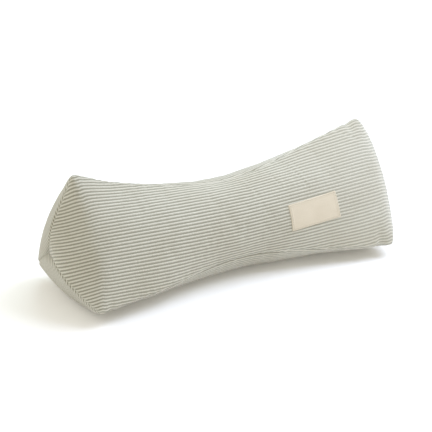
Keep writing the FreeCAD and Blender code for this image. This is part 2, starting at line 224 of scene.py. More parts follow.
def stations(body_rows, cap_rows):
    """Stations from one end's middle to the other's, closer together round the end edges."""
    body = np.linspace(-1, 1, body_rows)
    cap = 1 + (np.arange(1, cap_rows + 1) / cap_rows) ** 1.5
    return np.concatenate([-cap[::-1], body, cap])


def welded_form(rows, columns):
    """The closed form as one mesh: a ring of vertices per station and a point at each end."""
    inner = rows[1:-1]
    across = np.broadcast_to(np.arange(columns) / columns, (len(inner), columns))
    ring = np.concatenate([surface(p, inner, across) for p in range(3)], 1)
    count = ring.shape[1]
    ends = [[-HALF_LENGTH, 0, AXIS_HEIGHT], [HALF_LENGTH, 0, AXIS_HEIGHT]]
    verts = np.concatenate([ring.reshape(-1, 3), ends])
    faces = []
    for row in range(len(inner) - 1):
        for n in range(count):
            a, b = row * count + n, row * count + (n + 1) % count
            faces.append((a, b, b + count, a + count))
    first, last = len(verts) - 2, len(verts) - 1
    top = (len(inner) - 1) * count
    for n in range(count):
        after = (n + 1) % count
        faces.append((first, after, n))
        faces.append((last, top + n, top + after))
    return verts, faces, count


def new_mesh_object(name, verts, faces):
    mesh = bpy.data.meshes.new(name)
    mesh.from_pydata([tuple(v) for v in verts], [], faces)
    mesh.update()
    made = bpy.data.objects.new(name, mesh)
    bpy.context.collection.objects.link(made)
    return made


def stuffed_moves(rows):
    """How far the stuffing moves each point of the coarse grid: one (rows, columns, 3) array per panel."""
    verts, faces, count = welded_form(rows, COARSE_ACROSS)
    form = new_mesh_object("stuffing_form", verts, faces)
    seams = form.vertex_groups.new(name="seams")
    inner_rows = len(rows) - 2
    pinned = [r * count + p * COARSE_ACROSS for r in range(inner_rows) for p in range(3)]
    seams.add(pinned + [len(verts) - 2, len(verts) - 1], 1.0, "REPLACE")
    cloth = form.modifiers.new("cloth", "CLOTH")
    settings = cloth.settings
    settings.quality = 6
    settings.mass = 0.3
    settings.tension_stiffness = 20
    settings.compression_stiffness = 20
    settings.shear_stiffness = 8
    settings.bending_stiffness = 0.6
    settings.vertex_group_mass = "seams"
    settings.pin_stiffness = 1
    settings.shrink_min = -CLOTH_EASE
    settings.use_pressure = True
    settings.uniform_pressure_force = STUFFING_PRESSURE
    settings.effector_weights.gravity = 0
    cloth.collision_settings.use_self_collision = False
    scene = bpy.context.scene
    cloth.point_cache.frame_start = 1
    cloth.point_cache.frame_end = CLOTH_FRAMES
    for step in range(1, CLOTH_FRAMES + 1):
        scene.frame_set(step)
    evaluated = form.evaluated_get(bpy.context.evaluated_depsgraph_get())
    moved = np.empty(len(verts) * 3)
    evaluated.data.vertices.foreach_get("co", moved)
    scene.frame_set(1)
    bpy.data.objects.remove(form)
    moves = moved.reshape(-1, 3) - verts
    far = np.linalg.norm(moves, axis=1, keepdims=True)
    moves *= MOST_SWELL * np.tanh(far / MOST_SWELL) / np.maximum(far, 1e-9)
    ring = moves[:-2].reshape(inner_rows, count, 3)
    calm = ring.copy()
    for _ in range(CALMING_PASSES):
        calm[1:-1] = (calm[:-2] + 2 * calm[1:-1] + calm[2:]) / 4
    ring = WRINKLES_KEPT * ring + (1 - WRINKLES_KEPT) * calm
    ring = np.concatenate([ring, ring[:, :1]], 1)
    ends = np.zeros((1, ring.shape[1], 3))
    ring = np.concatenate([ends, ring, ends])
    spans = [slice(p * COARSE_ACROSS, (p + 1) * COARSE_ACROSS + 1) for p in range(3)]
    return [ring[:, span] for span in spans]


def cubic_rows(values, known, wanted):
    """Catmull-Rom interpolation of an array along its first axis."""
    place = np.clip(np.searchsorted(known, wanted, side="right") - 1, 0, len(known) - 2)
    t = (wanted - known[place]) / (known[place + 1] - known[place])
    t = t.reshape((-1,) + (1,) * (values.ndim - 1))
    at = [values[np.clip(place + k, 0, len(known) - 1)] for k in (-1, 0, 1, 2)]
    return 0.5 * (
        2 * at[1]
        + (at[2] - at[0]) * t
        + (2 * at[0] - 5 * at[1] + 4 * at[2] - at[3]) * t**2
        + (3 * at[1] - at[0] - 3 * at[2] + at[3]) * t**3
    )


# ---------------------------------------------------------------- the zip's arc
# The zip lies in the rear lower seam, which is one arc about the slider's joint. A place
# at the zip is a distance along the seam, a distance across it towards the back panel,
# and a distance out of the pillow.


def joint_named(name):
    return next(j for j in frame["joints"] if j["name"] == name)


ZIP_CENTRE = np.array(joint_named("zip_travel")["pos_m"])
ZIP_ACROSS = -unit(np.array(joint_named("zip_travel")["axis"]))
ZIP_OUT = np.cross(ZIP_ACROSS, [1.0, 0.0, 0.0])
ZIP_HALF = (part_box("zip_tape_upper")[1].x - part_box("zip_tape_upper")[0].x) / 2
COIL_HALF = (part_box("zip_coil_upper")[1].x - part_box("zip_coil_upper")[0].x) / 2
ZIP_OPENING = 0.0056
ZIP_END = 0.012


def zip_point(distance, across, out):
    """World points of places at the zip. The three values are arrays of one shape, or plain numbers."""
    distance, across, out = np.broadcast_arrays(distance, across, out)
    angle = distance / SEAM_RADIUS
    reach = SEAM_RADIUS - out
    turned = np.sin(angle)[..., None] * [1.0, 0.0, 0.0] - np.cos(angle)[..., None] * ZIP_OUT
    return ZIP_CENTRE + reach[..., None] * turned + across[..., None] * ZIP_ACROSS


def beside_zip(x):
    """1 along the zip and 0 past its ends."""
    return 1 - smooth(ZIP_HALF - ZIP_END, ZIP_HALF, np.abs(x))


# ---------------------------------------------------------------- the label's place

LABEL_HALF_LENGTH = (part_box("label_patch")[1].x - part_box("label_patch")[0].x) / 2
LABEL_PLACE = (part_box("label_patch")[1].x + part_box("label_patch")[0].x) / 2
LABEL_HALF_WIDTH = 0.021
LABEL_DROP = 0.022
LABEL_TURN = 0.04
LABEL_CLOTH = 0.0013
LABEL_HEM = 0.0045
LABEL_COLUMNS = 84
LABEL_LINES = 46
STITCH_INSET = 0.0025
LABEL_STITCH = 0.0026
LABEL_STITCH_PITCH = 0.0032
LABEL_THREAD = 0.00022
LABEL_CALMING = 50


# ---------------------------------------------------------------- sewing: seams, ears and creases

FINE_BODY = 250
FINE_CAP = 30
FINE_ACROSS = 88
SEAM_CLUSTER = 0.8
GROOVE_DEPTH = 0.0014
GROOVE_WIDTH = 0.0024
PUCKER_DEPTH = 0.00035
PUCKER_REACH = 0.010
FLOOR_SOFTNESS = 0.0015
EDGE_PASSES = 90
EDGE_REACH = 0.034
CORNER_STIFFNESS = 0.75
ZIP_BED_OUT = 0.00115
ZIP_BED_HALF = 0.009
ZIP_BED_FADE = 0.026

# Local corrections along the ridge (0) and the front lower seam (1): place along the
# pillow, half length and how far out. They are fitted to the outline from one viewpoint,
# not worked out from how stuffing settles.
SETTLING = {
    0: ((-0.05, 0.09, 0.0020), (0.16, 0.05, 0.0010), (-0.274, 0.012, -0.0035)),
    1: ((-0.145, 0.060, 0.0045), (0.040, 0.050, -0.0020), (0.215, 0.045, 0.0028)),
}
SETTLING_REACH = 0.055
STUFFED_TIGHT = 0.0010

# The near end's middle, ridge tip and front lower tip, and the far end's front lower tip:
# where each is and how far it is moved. These are fitted to the same outline.
TIP_REACH = 0.040
LOW_CORNER = AXIS_HEIGHT - CORNER_RADIUS / 2
TIP_PULLS = (
    ((-HALF_LENGTH, 0.0, AXIS_HEIGHT), (-0.004, 0.0, 0.008)),
    ((-HALF_SPAN, 0.0, AXIS_HEIGHT + CORNER_RADIUS), (0.0, 0.0, 0.007)),
    ((-HALF_SPAN, -HALF_SIDE, LOW_CORNER), (-0.008, 0.0, 0.0)),
    ((HALF_SPAN, -HALF_SIDE, LOW_CORNER), (0.004, -0.001, 0.0)),
)

# Each corner of the end triangles is pinched a little way before its tip: end, corner,
# distance from the end edge, depth.
EARS = (
    (1, 0, 0.018, 0.0030),
    (1, 1, 0.019, 0.0042),
    (1, 2, 0.015, 0.0030),
    (-1, 0, 0.016, 0.0010),
    (-1, 1, 0.015, 0.0014),
    (-1, 2, 0.015, 0.0024),
)
EAR_WIDTH = 0.0065
EAR_REACH = 0.020
APEX_DIMPLE = 0.0050
APEX_WIDTH = 0.0045

# Soft creases in the front panel: place along and across the cloth, heading in degrees
# from the pillow's length, half length, half width, depth.
CREASES = (
    (0.122, -0.038, 70, 0.034, 0.0017, 0.0016),
    (0.129, -0.046, 74, 0.020, 0.0014, 0.0010),
    (0.098, -0.010, 48, 0.011, 0.0014, 0.0018),
    (0.083, -0.042, 74, 0.020, 0.0020, 0.0010),
    (0.041, -0.038, 80, 0.024, 0.0024, 0.0009),
    (0.182, -0.030, 63, 0.022, 0.0022, 0.0009),
    (-0.060, 0.040, 84, 0.030, 0.0044, 0.0005),
    (0.232, -0.078, 40, 0.018, 0.0026, 0.0013),
    (0.236, 0.082, -38, 0.018, 0.0028, 0.0013),
    (-0.150, -0.050, 80, 0.026, 0.0044, 0.0005),
)


def seam_clustered(count):
    """Numbers from 0 to 1 that lie closer together near both ends."""
    even = np.linspace(0, 1, count + 1)
    eased = 0.5 - 0.5 * np.cos(math.pi * even)
    return (1 - SEAM_CLUSTER) * even + SEAM_CLUSTER * eased


def wander(values, seed, shortest, longest, count=14):
    """A smooth random curve, mostly between -1 and 1: waves with lengths in the values' unit."""
    random = np.random.default_rng(seed)
    total = np.zeros_like(values)
    for _ in range(count):
        wave = random.uniform(shortest, longest)
        total += np.sin(values * 2 * math.pi / wave + random.uniform(0, 2 * math.pi))
    return total / math.sqrt(2 * count)


def inward(points):
    """Unit vectors from each point towards the pillow's axis."""
    reach = HALF_SPAN - 0.05
    x = np.clip(points[..., 0], -reach, reach)
    sag = WAIST_SAG * (1 - flare(x, REAR_LOW))
    target = np.stack([x, np.zeros_like(x), AXIS_HEIGHT - sag], -1)
    return unit(target - points)


class Panel:
    """One panel as a fine grid of points, with its cloth coordinates."""

    def __init__(self, index, coarse_rows, moves):
        self.index = index
        self.rows = stations(FINE_BODY, FINE_CAP)
        across = np.broadcast_to(seam_clustered(FINE_ACROSS), (len(self.rows), FINE_ACROSS + 1))
        self.across = self.opened(across)
        points = surface(index, self.rows, self.across)
        known = np.arange(COARSE_ACROSS + 1) / COARSE_ACROSS
        along = cubic_rows(moves, coarse_rows, self.rows)
        shift = np.empty_like(points)
        for row in range(len(self.rows)):
            shift[row] = cubic_rows(along[row], known, self.across[row])
        self.points = points + shift
        self.width = widths(index, self.rows)
        self.cloth_across = (self.across - 0.5) * self.width[:, None]
        crown = self.points[:, FINE_ACROSS // 2]
        steps = np.linalg.norm(np.diff(crown, axis=0), axis=1)
        self.run = np.concatenate([[0], np.cumsum(steps)])
        self.run -= self.run[len(self.run) // 2]
        self.cloth_along = np.broadcast_to(self.run[:, None], self.across.shape)

    def opened(self, across):
        """Moves the edge beside the zip away from the seam."""
        gap = ZIP_OPENING * beside_zip(station_x(self.rows))
        share = (gap / np.maximum(widths(self.index, self.rows), ZIP_OPENING))[:, None]
        if self.index == REAR_LOW - 1:
            return across * (1 - share)
        if self.index == REAR_LOW:
            return share + across * (1 - share)
        return across

    def seams(self):
        """The panel's two seams: the corner and every point's distance from it over the cloth."""
        width = self.width[:, None]
        return ((self.index, self.across * width), ((self.index + 1) % 3, (1 - self.across) * width))

    def pull_tips(self):
        """Moves some of the tips to where the outline has them."""
        for tip, shift in TIP_PULLS:
            near = bump(np.linalg.norm(self.points - np.array(tip), axis=-1), TIP_REACH)
            self.points = self.points + near[..., None] * np.array(shift)

    def settle(self):
        """Corrects the outline along two of the seams, and swells the whole panel a little."""
        x = self.points[..., 0]
        out = np.full(self.across.shape, STUFFED_TIGHT)
        for corner, distance in self.seams():
            for place, length, height in SETTLING.get(corner, ()):
                out += height * bump(x - place, length) * bump(distance, SETTLING_REACH)
        self.points = self.points - inward(self.points) * out[..., None]

    def round_ends(self):
        """Rounds the cloth over the edges of the end triangles, but keeps their corners pointed."""
        edge_run = np.interp(1, self.rows, self.run)
        near = bump(np.abs(self.run) - edge_run, EDGE_REACH)
        away = smooth(0, 2 * EDGE_REACH, np.minimum(self.across, 1 - self.across) * self.width[:, None])
        weight = near[:, None] * (1 - CORNER_STIFFNESS * (1 - away)) / 2
        weight = weight[1:-1, :, None]
        for _ in range(EDGE_PASSES):
            middle = (self.points[:-2] + self.points[2:]) / 2
            self.points[1:-1] += weight * (middle - self.points[1:-1])

    def sew(self):
        """Sinks the seams, puckers the cloth beside them, pinches the corners and adds creases."""
        x = station_x(self.rows)
        depth = np.zeros(self.across.shape)
        for corner, distance in self.seams():
            closed = np.ones(len(self.rows))
            if corner == REAR_LOW:
                closed = 1 - beside_zip(x)
            puckers = wander(self.run, 10 + corner, 0.008, 0.022)
            late = wander(self.run, 20 + 3 * corner + self.index, 0.009, 0.026)
            blend = bump(distance, PUCKER_REACH)
            ripple = puckers[:, None] * blend + late[:, None] * (blend - blend**3)
            groove = GROOVE_DEPTH * bump(distance, GROOVE_WIDTH) * (1 + 0.25 * puckers[:, None])
            depth += (groove + PUCKER_DEPTH * ripple) * closed[:, None]
            for end, ear, back, deep in EARS:
                if ear == corner:
                    pinch = bump(x - end * (HALF_SPAN - back), EAR_WIDTH)[:, None]
                    depth += deep * pinch * bump(distance, EAR_REACH)
        apex = np.abs(np.abs(self.points[..., 0]) - HALF_LENGTH)
        from_axis = np.hypot(self.points[..., 1], self.points[..., 2] - AXIS_HEIGHT)
        depth += APEX_DIMPLE * bump(np.hypot(apex, from_axis), APEX_WIDTH)
        if self.index == 0:
            depth += self.creases()
        self.points = self.points + inward(self.points) * depth[..., None]

    def creases(self):
        """The depth of the front panel's soft creases."""
        depth = np.zeros(self.across.shape)
        for along, across, heading, length, width, deep in CREASES:
            turn = math.radians(heading)
            far, aside = self.cloth_along - along, self.cloth_across - across
            down = far * math.cos(turn) + aside * math.sin(turn)
            over = aside * math.cos(turn) - far * math.sin(turn)
            valley = bump(over, width) - 0.45 * bump(over, 2.4 * width)
            depth += deep * valley * bump(down, length)
        return depth

    def calm_under_label(self):
        """Stretches the cloth smooth under the stiffer label."""
        along, across = np.abs(self.cloth_along - LABEL_PLACE), np.abs(self.cloth_across - LABEL_DROP)
        beyond = np.maximum(along - LABEL_HALF_LENGTH, across - LABEL_HALF_WIDTH)
        weight = (1 - smooth(0.003, 0.018, beyond))[1:-1, 1:-1, None] / 2
        for _ in range(LABEL_CALMING):
            points = self.points
            middle = (points[:-2, 1:-1] + points[2:, 1:-1] + points[1:-1, :-2] + points[1:-1, 2:]) / 4
            points[1:-1, 1:-1] += weight * (middle - points[1:-1, 1:-1])

    def bed_zip(self):
        """Lifts the cloth beside the zip to lie flat over its tapes."""
        for corner, distance in self.seams():
            if corner != REAR_LOW:
                continue
            side = 1 if self.index == REAR_LOW else -1
            x = np.clip(self.points[..., 0], -HALF_SPAN, HALF_SPAN)
            curled = ZIP_BED_OUT - 0.0004 * bump(distance - ZIP_OPENING, 0.0007)
            along = SEAM_RADIUS * np.arcsin(x / (SEAM_RADIUS - curled))
            bed = zip_point(along, side * distance, curled)
            reach = 1 - smooth(ZIP_HALF - ZIP_END, ZIP_HALF + ZIP_END, np.abs(x))
            weight = reach * (1 - smooth(ZIP_BED_HALF, ZIP_BED_FADE, distance))
            self.points = self.points + weight[..., None] * (bed - self.points)

    def normals(self):
        """Unit normals of the grid, outward."""
        along = np.gradient(self.points, axis=0)
        across = np.gradient(self.points, axis=1)
        normal = np.cross(across, along)
        length = np.linalg.norm(normal, axis=-1, keepdims=True)
        return np.where(length > 1e-12, normal / np.maximum(length, 1e-12), -inward(self.points))

    def rest(self):
        """Flattens what would go under the floor."""
        z = self.points[..., 2]
        soft = FLOOR_SOFTNESS
        over = np.where(z / soft > 30, z, soft * np.log1p(np.exp(np.minimum(z / soft, 30))))
        self.points[..., 2] = np.where(z > 8 * soft, z, over)

    def over(self, along, across, lift):
        """Points a lift above the panel, at cloth coordinates given as arrays of one shape."""
        along, across, lift = np.broadcast_arrays(along, across, lift)
        row = np.interp(along, self.run, np.arange(len(self.run)))
        low = np.minimum(row.astype(int), len(self.run) - 2)
        share = (row - low)[..., None]
        normals = self.normals()
        place, normal = 0, 0
        for line, part in ((low, 1 - share), (low + 1, share)):
            pairs = zip(line.ravel(), across.ravel())
            order = np.arange(FINE_ACROSS + 1)
            column = [np.interp(c, self.cloth_across[r], order) for r, c in pairs]
            column = np.array(column).reshape(line.shape)
            left = np.minimum(column.astype(int), FINE_ACROSS - 1)
            right_part = (column - left)[..., None]
            left_part = 1 - right_part
            place = place + part * (
                left_part * self.points[line, left] + right_part * self.points[line, left + 1]
            )
            normal = normal + part * (
                left_part * normals[line, left] + right_part * normals[line, left + 1]
            )
        return place + lift[..., None] * unit(normal)


# ---------------------------------------------------------------- making pieces


def grid_faces(rows, columns):
    """Faces of a grid, wound so that they look outward."""
    faces = []
    for r in range(rows - 1):
        for c in range(columns - 1):
            a = r * columns + c
            faces.append((a, a + 1, a + columns + 1, a + columns))
    return faces


def lay_cloth(mesh, cloth):
    """Stores each vertex's place on the flat cloth as the mesh's cloth coordinates."""
    layer = mesh.uv_layers.new(name="cloth")
    corners = np.empty(len(mesh.loops), int)
    mesh.loops.foreach_get("vertex_index", corners)
    layer.data.foreach_set("uv", cloth[corners].ravel())
    mesh.polygons.foreach_set("use_smooth", [True] * len(mesh.polygons))


def weld(mesh):
    """Joins vertices that lie at one place."""
    edit = bmesh.new()
    edit.from_mesh(mesh)
    bmesh.ops.remove_doubles(edit, verts=edit.verts, dist=1e-6)
    edit.to_mesh(mesh)
    edit.free()


def grid_object(name, points, cloth, thickness):
    """A sheet of cloth from a grid of outer points, given its thickness inward."""
    rows, columns = points.shape[:2]
    made = new_mesh_object(name, points.reshape(-1, 3), grid_faces(rows, columns))
    lay_cloth(made.data, cloth.reshape(-1, 2))
    weld(made.data)
    solid = made.modifiers.new("thickness", "SOLIDIFY")
    solid.thickness = thickness
    solid.offset = -1
    return made


def finish_piece(piece, body, material, nodes=()):
    """Gives a piece its material, hangs it from its body's empty and hides the CAD nodes that it stands
    for.
    """
    piece.data.materials.clear()
    piece.data.materials.append(material)
    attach(piece, body)
    if nodes:
        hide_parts(*nodes)
    return piece


# ---------------------------------------------------------------- materials


class Nodes:
    """A short way to write a material's node tree."""

    def __init__(self, name, roughness):
        self.material = bpy.data.materials.new(name)
        self.material.use_nodes = True
        self.tree = self.material.node_tree
        self.shader = self.tree.nodes["Principled BSDF"]
        self.shader.inputs["Roughness"].default_value = roughness

    def add(self, kind, **values):
        node = self.tree.nodes.new(kind)
        for key, value in values.items():
            setattr(node, key, value)
        return node

    def link(self, source, target):
        self.tree.links.new(source, target)

    def put(self, socket, value):
        """Links a socket to another, or sets it to a plain value."""
        if hasattr(value, "is_output"):
            self.link(value, socket)
        else:
            socket.default_value = value

    def math(self, operation, *values):
        node = self.add("ShaderNodeMath", operation=operation)
        for socket, value in zip(node.inputs, values):
            self.put(socket, value)
        return node.outputs[0]

    def ramp(self, value, low, high, to_low=0.0, to_high=1.0):
        """A smooth step from low to high."""
        node = self.add("ShaderNodeMapRange", interpolation_type="SMOOTHSTEP")
        for socket, given in zip(node.inputs, (value, low, high, to_low, to_high)):
            self.put(socket, given)
        return node.outputs[0]

    def colour(self, factor, first, second):
        node = self.add("ShaderNodeMix", data_type="RGBA")
        self.put(node.inputs[0], factor)
        self.put(node.inputs[6], first if hasattr(first, "is_output") else (*first, 1))
        self.put(node.inputs[7], second if hasattr(second, "is_output") else (*second, 1))
        return node.outputs[2]

    def noise(self, vector, scale, detail=2.0, roughness=0.5):
        node = self.add("ShaderNodeTexNoise")
        self.link(vector, node.inputs["Vector"])
        node.inputs["Scale"].default_value = scale
        node.inputs["Detail"].default_value = detail
        node.inputs["Roughness"].default_value = roughness
        return node.outputs["Fac"]

    def vector(self, x, y, z=0.0):
        node = self.add("ShaderNodeCombineXYZ")
        for socket, value in zip(node.inputs, (x, y, z)):
            self.put(socket, value)
        return node.outputs[0]

    def cloth_place(self):
        """The across and along coordinates of the flat cloth, in metres."""
        place = self.add("ShaderNodeUVMap", uv_map="cloth")
        split = self.add("ShaderNodeSeparateXYZ")
        self.link(place.outputs[0], split.inputs[0])
        return split.outputs[0], split.outputs[1]

    def relief(self, height, distance, strength=1.0):
        node = self.add("ShaderNodeBump")
        node.inputs["Distance"].default_value = distance
        node.inputs["Strength"].default_value = strength
        self.link(height, node.inputs["Height"])
        self.link(node.outputs[0], self.shader.inputs["Normal"])

    def base(self, colour):
        self.put(self.shader.inputs["Base Color"], colour)

    def sheen(self, weight, roughness, tint=(1, 1, 1)):
        self.shader.inputs["Sheen Weight"].default_value = weight
        self.shader.inputs["Sheen Roughness"].default_value = roughness
        self.shader.inputs["Sheen Tint"].default_value = (*tint, 1)


STRIPE_PITCH = 0.00505
GREEN_YARN = (0.306, 0.295, 0.231)
CREAM_YARN = (0.622, 0.595, 0.512)
WEFT_PITCH = 0.0009
# How far the green yarn is paled towards the +X end: painted light, standing in for the brighter light and
# sheen on that end.
FAR_END_PAINTED_LIGHT = 0.28


def striped_cloth():
    """Cream and grey-green yarn-dyed stripes, woven as soft ribs with a slight pucker, with painted light
    that pales the green towards the +X end.
    """
    n = Nodes("striped_cloth", 0.9)
    across, along = n.cloth_place()
    drift = n.noise(n.vector(n.math("MULTIPLY", across, 60.0), n.math("MULTIPLY", along, 18.0)), 1.0)
    slub = n.noise(n.vector(n.math("MULTIPLY", across, 300.0), n.math("MULTIPLY", along, 520.0)), 1.0, 2.0)
    waver = n.math("MULTIPLY", n.math("SUBTRACT", drift, 0.5), 0.09)
    waver = n.math("ADD", waver, n.math("MULTIPLY", n.math("SUBTRACT", slub, 0.5), 0.22))
    turns = n.math("ADD", n.math("DIVIDE", across, STRIPE_PITCH), waver)
    wave = n.math("SINE", n.math("MULTIPLY", turns, 2 * math.pi))
    stripe = n.ramp(wave, -0.45, 0.45)
    thread = n.vector(n.math("MULTIPLY", across, 2600.0), n.math("MULTIPLY", along, 1100.0))
    fleck = n.noise(thread, 1.0, 3.0, 0.7)
    faded = n.noise(n.vector(across, along), 14.0, 3.0)
    green = n.colour(fleck, tuple(c * 0.86 for c in GREEN_YARN), tuple(c * 1.14 for c in GREEN_YARN))
    cream = n.colour(fleck, tuple(c * 0.93 for c in CREAM_YARN), tuple(c * 1.06 for c in CREAM_YARN))
    # Painted light: from the cloth's middle on, the green stripes turn paler towards the +X end, for the
    # brighter light there.
    far_end_painted_light = n.ramp(along, 0.0, 0.25, 0.0, FAR_END_PAINTED_LIGHT)
    yarn = n.colour(stripe, n.colour(far_end_painted_light, green, CREAM_YARN), cream)
    aged = n.colour(n.ramp(faded, 0.35, 0.7), (1, 1, 1), (0.95, 0.94, 0.92))
    tint = n.add("ShaderNodeMix", data_type="RGBA", blend_type="MULTIPLY")
    tint.inputs[0].default_value = 1.0
    n.link(yarn, tint.inputs[6])
    n.link(aged, tint.inputs[7])
    n.base(tint.outputs[2])
    rib = n.math("MULTIPLY", n.math("COSINE", n.math("MULTIPLY", turns, 4 * math.pi)), -0.28)
    gathered = n.vector(n.math("MULTIPLY", across, 420.0), n.math("MULTIPLY", along, 300.0))
    pucker = n.noise(gathered, 1.0, 2.0)
    pucker = n.math("MULTIPLY", pucker, n.ramp(stripe, 0.0, 1.0, 0.5, 1.1))
    weft = n.math("SINE", n.math("MULTIPLY", along, 2 * math.pi / WEFT_PITCH))
    weft = n.math("MULTIPLY", weft, 0.10)
    height = n.math("ADD", n.math("ADD", rib, pucker), n.math("ADD", weft, n.math("MULTIPLY", fleck, 0.25)))
    n.relief(height, 0.0006, 1.0)
    n.sheen(0.55, 0.45, (1.0, 0.99, 0.95))
    n.shader.inputs["Specular IOR Level"].default_value = 0.25
    return n.material


def plain_cloth(name, colour, shade, weave, depth, sheen=0.3):
    """A plain weave in one colour: warp and weft threads a weave apart, a fine fleck and soft wear."""
    n = Nodes(name, 0.92)
    across, along = n.cloth_place()
    turn = 2 * math.pi / weave
    warp = n.math("SINE", n.math("MULTIPLY", across, turn))
    weft = n.math("SINE", n.math("MULTIPLY", along, turn))
    cross = n.math("MULTIPLY", warp, weft)
    place = n.vector(across, along)
    fleck = n.noise(place, 900.0, 3.0, 0.65)
    cloud = n.noise(place, 45.0, 3.0)
    mixed = n.math("ADD", n.math("MULTIPLY", fleck, 0.7), n.math("MULTIPLY", cloud, 0.6))
    tone = n.ramp(n.math("ADD", mixed, n.math("MULTIPLY", cross, 0.10)), 0.35, 0.95)
    n.base(n.colour(tone, shade, colour))
    height = n.math("ADD", n.math("MULTIPLY", cross, 0.5), n.math("MULTIPLY", fleck, 0.5))
    n.relief(height, depth, 0.8)
    n.sheen(sheen, 0.5, (1.0, 0.98, 0.95))
    n.shader.inputs["Specular IOR Level"].default_value = 0.2
    return n.material


def twisted_thread(name, colour, shade):
    """Sewing thread: slanting plies along each stitch."""
    n = Nodes(name, 0.7)
    across, along = n.cloth_place()
    turns = n.math("ADD", n.math("MULTIPLY", along, 2600.0), n.math("MULTIPLY", across, 6.28))
    ply = n.math("SINE", turns)
    n.base(n.colour(n.ramp(ply, -0.8, 0.8), shade, colour))
    n.relief(ply, 0.00008, 0.7)
    n.sheen(0.2, 0.4)
    return n.material


def tape_weave():
    """The zip's tapes: a fine herringbone."""
    n = Nodes("zip_tape", 0.85)
    across, along = n.cloth_place()
    zigzag = n.math("ABSOLUTE", n.math("SUBTRACT", n.math("FRACT", n.math("DIVIDE", across, 0.0019)), 0.5))
    slant = n.math("ADD", n.math("MULTIPLY", zigzag, 0.0019), along)
    rib = n.math("SINE", n.math("MULTIPLY", slant, 2 * math.pi / 0.00055))
    fleck = n.noise(n.vector(across, along), 1500.0, 2.0)
    tone = n.ramp(n.math("ADD", n.math("MULTIPLY", rib, 0.3), fleck), 0.2, 0.9)
    n.base(n.colour(tone, (0.50, 0.48, 0.41), (0.70, 0.68, 0.60)))
    n.relief(rib, 0.00015, 0.8)
    n.sheen(0.15, 0.5)
    return n.material


def moulded_nylon():
    """The zip's coils: pale, slightly translucent nylon."""
    n = Nodes("zip_coil", 0.38)
    place = n.add("ShaderNodeTexCoord").outputs["Object"]
    tone = n.noise(place, 260.0, 2.0)
    n.base(n.colour(tone, (0.60, 0.58, 0.50), (0.76, 0.74, 0.67)))
    n.relief(n.noise(place, 2600.0, 2.0), 0.00004, 0.4)
    n.shader.inputs["Subsurface Weight"].default_value = 0.15
    n.shader.inputs["Subsurface Radius"].default_value = (0.001, 0.001, 0.0008)
    return n.material


def plated_metal():
    """The slider, pull tab and stops: nickel plating with fine scuffs and darker hollows."""
    n = Nodes("zip_metal", 0.3)
    place = n.add("ShaderNodeTexCoord").outputs["Object"]
    scuff = n.noise(place, 1400.0, 4.0, 0.7)
    cloud = n.noise(place, 180.0, 2.0)
    wear = n.add("ShaderNodeNewGeometry").outputs["Pointiness"]
    edge = n.ramp(wear, 0.5, 0.56)
    plate = n.colour(cloud, (0.20, 0.20, 0.19), (0.32, 0.315, 0.30))
    n.base(n.colour(edge, plate, (0.52, 0.51, 0.48)))
    n.link(n.ramp(scuff, 0.3, 0.8, 0.22, 0.42), n.shader.inputs["Roughness"])
    n.relief(scuff, 0.00003, 0.5)
    n.shader.inputs["Metallic"].default_value = 1.0
    return n.material


def fibre_fleece():
    """The stuffing's matted fibres."""
    n = Nodes("filling", 0.95)
    place = n.add("ShaderNodeTexCoord").outputs["Object"]
    fibres = n.noise(place, 320.0, 5.0, 0.75)
    lumps = n.noise(place, 40.0, 2.0)
    n.base(n.colour(n.math("MULTIPLY", fibres, lumps), (0.70, 0.69, 0.66), (0.92, 0.91, 0.88)))
    n.relief(fibres, 0.002, 0.7)
    n.sheen(0.4, 0.6)
    return n.material


FLOOR_GLOW = 0.12


def plain_floor():
    n = Nodes("pale_floor", 0.7)
    n.base((0.89, 0.885, 0.88, 1))
    n.shader.inputs["Emission Color"].default_value = (1.0, 0.97, 0.89, 1)
    n.shader.inputs["Emission Strength"].default_value = FLOOR_GLOW
    n.shader.inputs["Specular IOR Level"].default_value = 0.1
    return n.material


# ---------------------------------------------------------------- the cover

COVER_CLOTH = 0.0012


def stuffed_panels():
    """The three cover panels, stuffed, settled and sewn."""
    coarse_rows = stations(COARSE_BODY, COARSE_CAP)
    moves = stuffed_moves(coarse_rows)
    made = []
    for index in range(3):
        panel = Panel(index, coarse_rows, moves[index])
        panel.pull_tips()
        panel.settle()
        panel.round_ends()
        panel.sew()
        if index == 0:
            panel.calm_under_label()
        panel.bed_zip()
        panel.rest()
        made.append(panel)
    return made


def make_cover(panels):
    cloth_material = striped_cloth()
    for panel, side in zip(panels, PANELS):
        cloth = np.stack([panel.cloth_across, panel.cloth_along], -1)
        piece = grid_object(f"cover_{side}", panel.points, cloth, COVER_CLOTH)
        finish_piece(piece, PILLOW, cloth_material, [f"cover_{side}_panel"])


# ---------------------------------------------------------------- the label

def on_label(right, down):
    """Cloth coordinates of a point on the label, measured from its middle."""
    cos, sin = math.cos(LABEL_TURN), math.sin(LABEL_TURN)
    return LABEL_PLACE + right * cos + down * sin, LABEL_DROP + down * cos - right * sin


def label_lift(right, down):
    """The label's outer face above the cover: a folded hem, sunk along its stitches."""
    edge = np.minimum(LABEL_HALF_LENGTH - np.abs(right), LABEL_HALF_WIDTH - np.abs(down))
    lift = LABEL_CLOTH * (0.25 + 0.75 * smooth(0, 0.0009, edge))
    folded = 1 - smooth(LABEL_HEM - 0.0006, LABEL_HEM + 0.0006, edge)
    lift = lift + 0.00035 * folded * smooth(0, 0.001, edge)
    ripple = wander(right + 3 * down, 41, 0.004, 0.011)
    return lift - (0.0003 + 0.00012 * ripple) * bump(edge - STITCH_INSET, 0.0007)


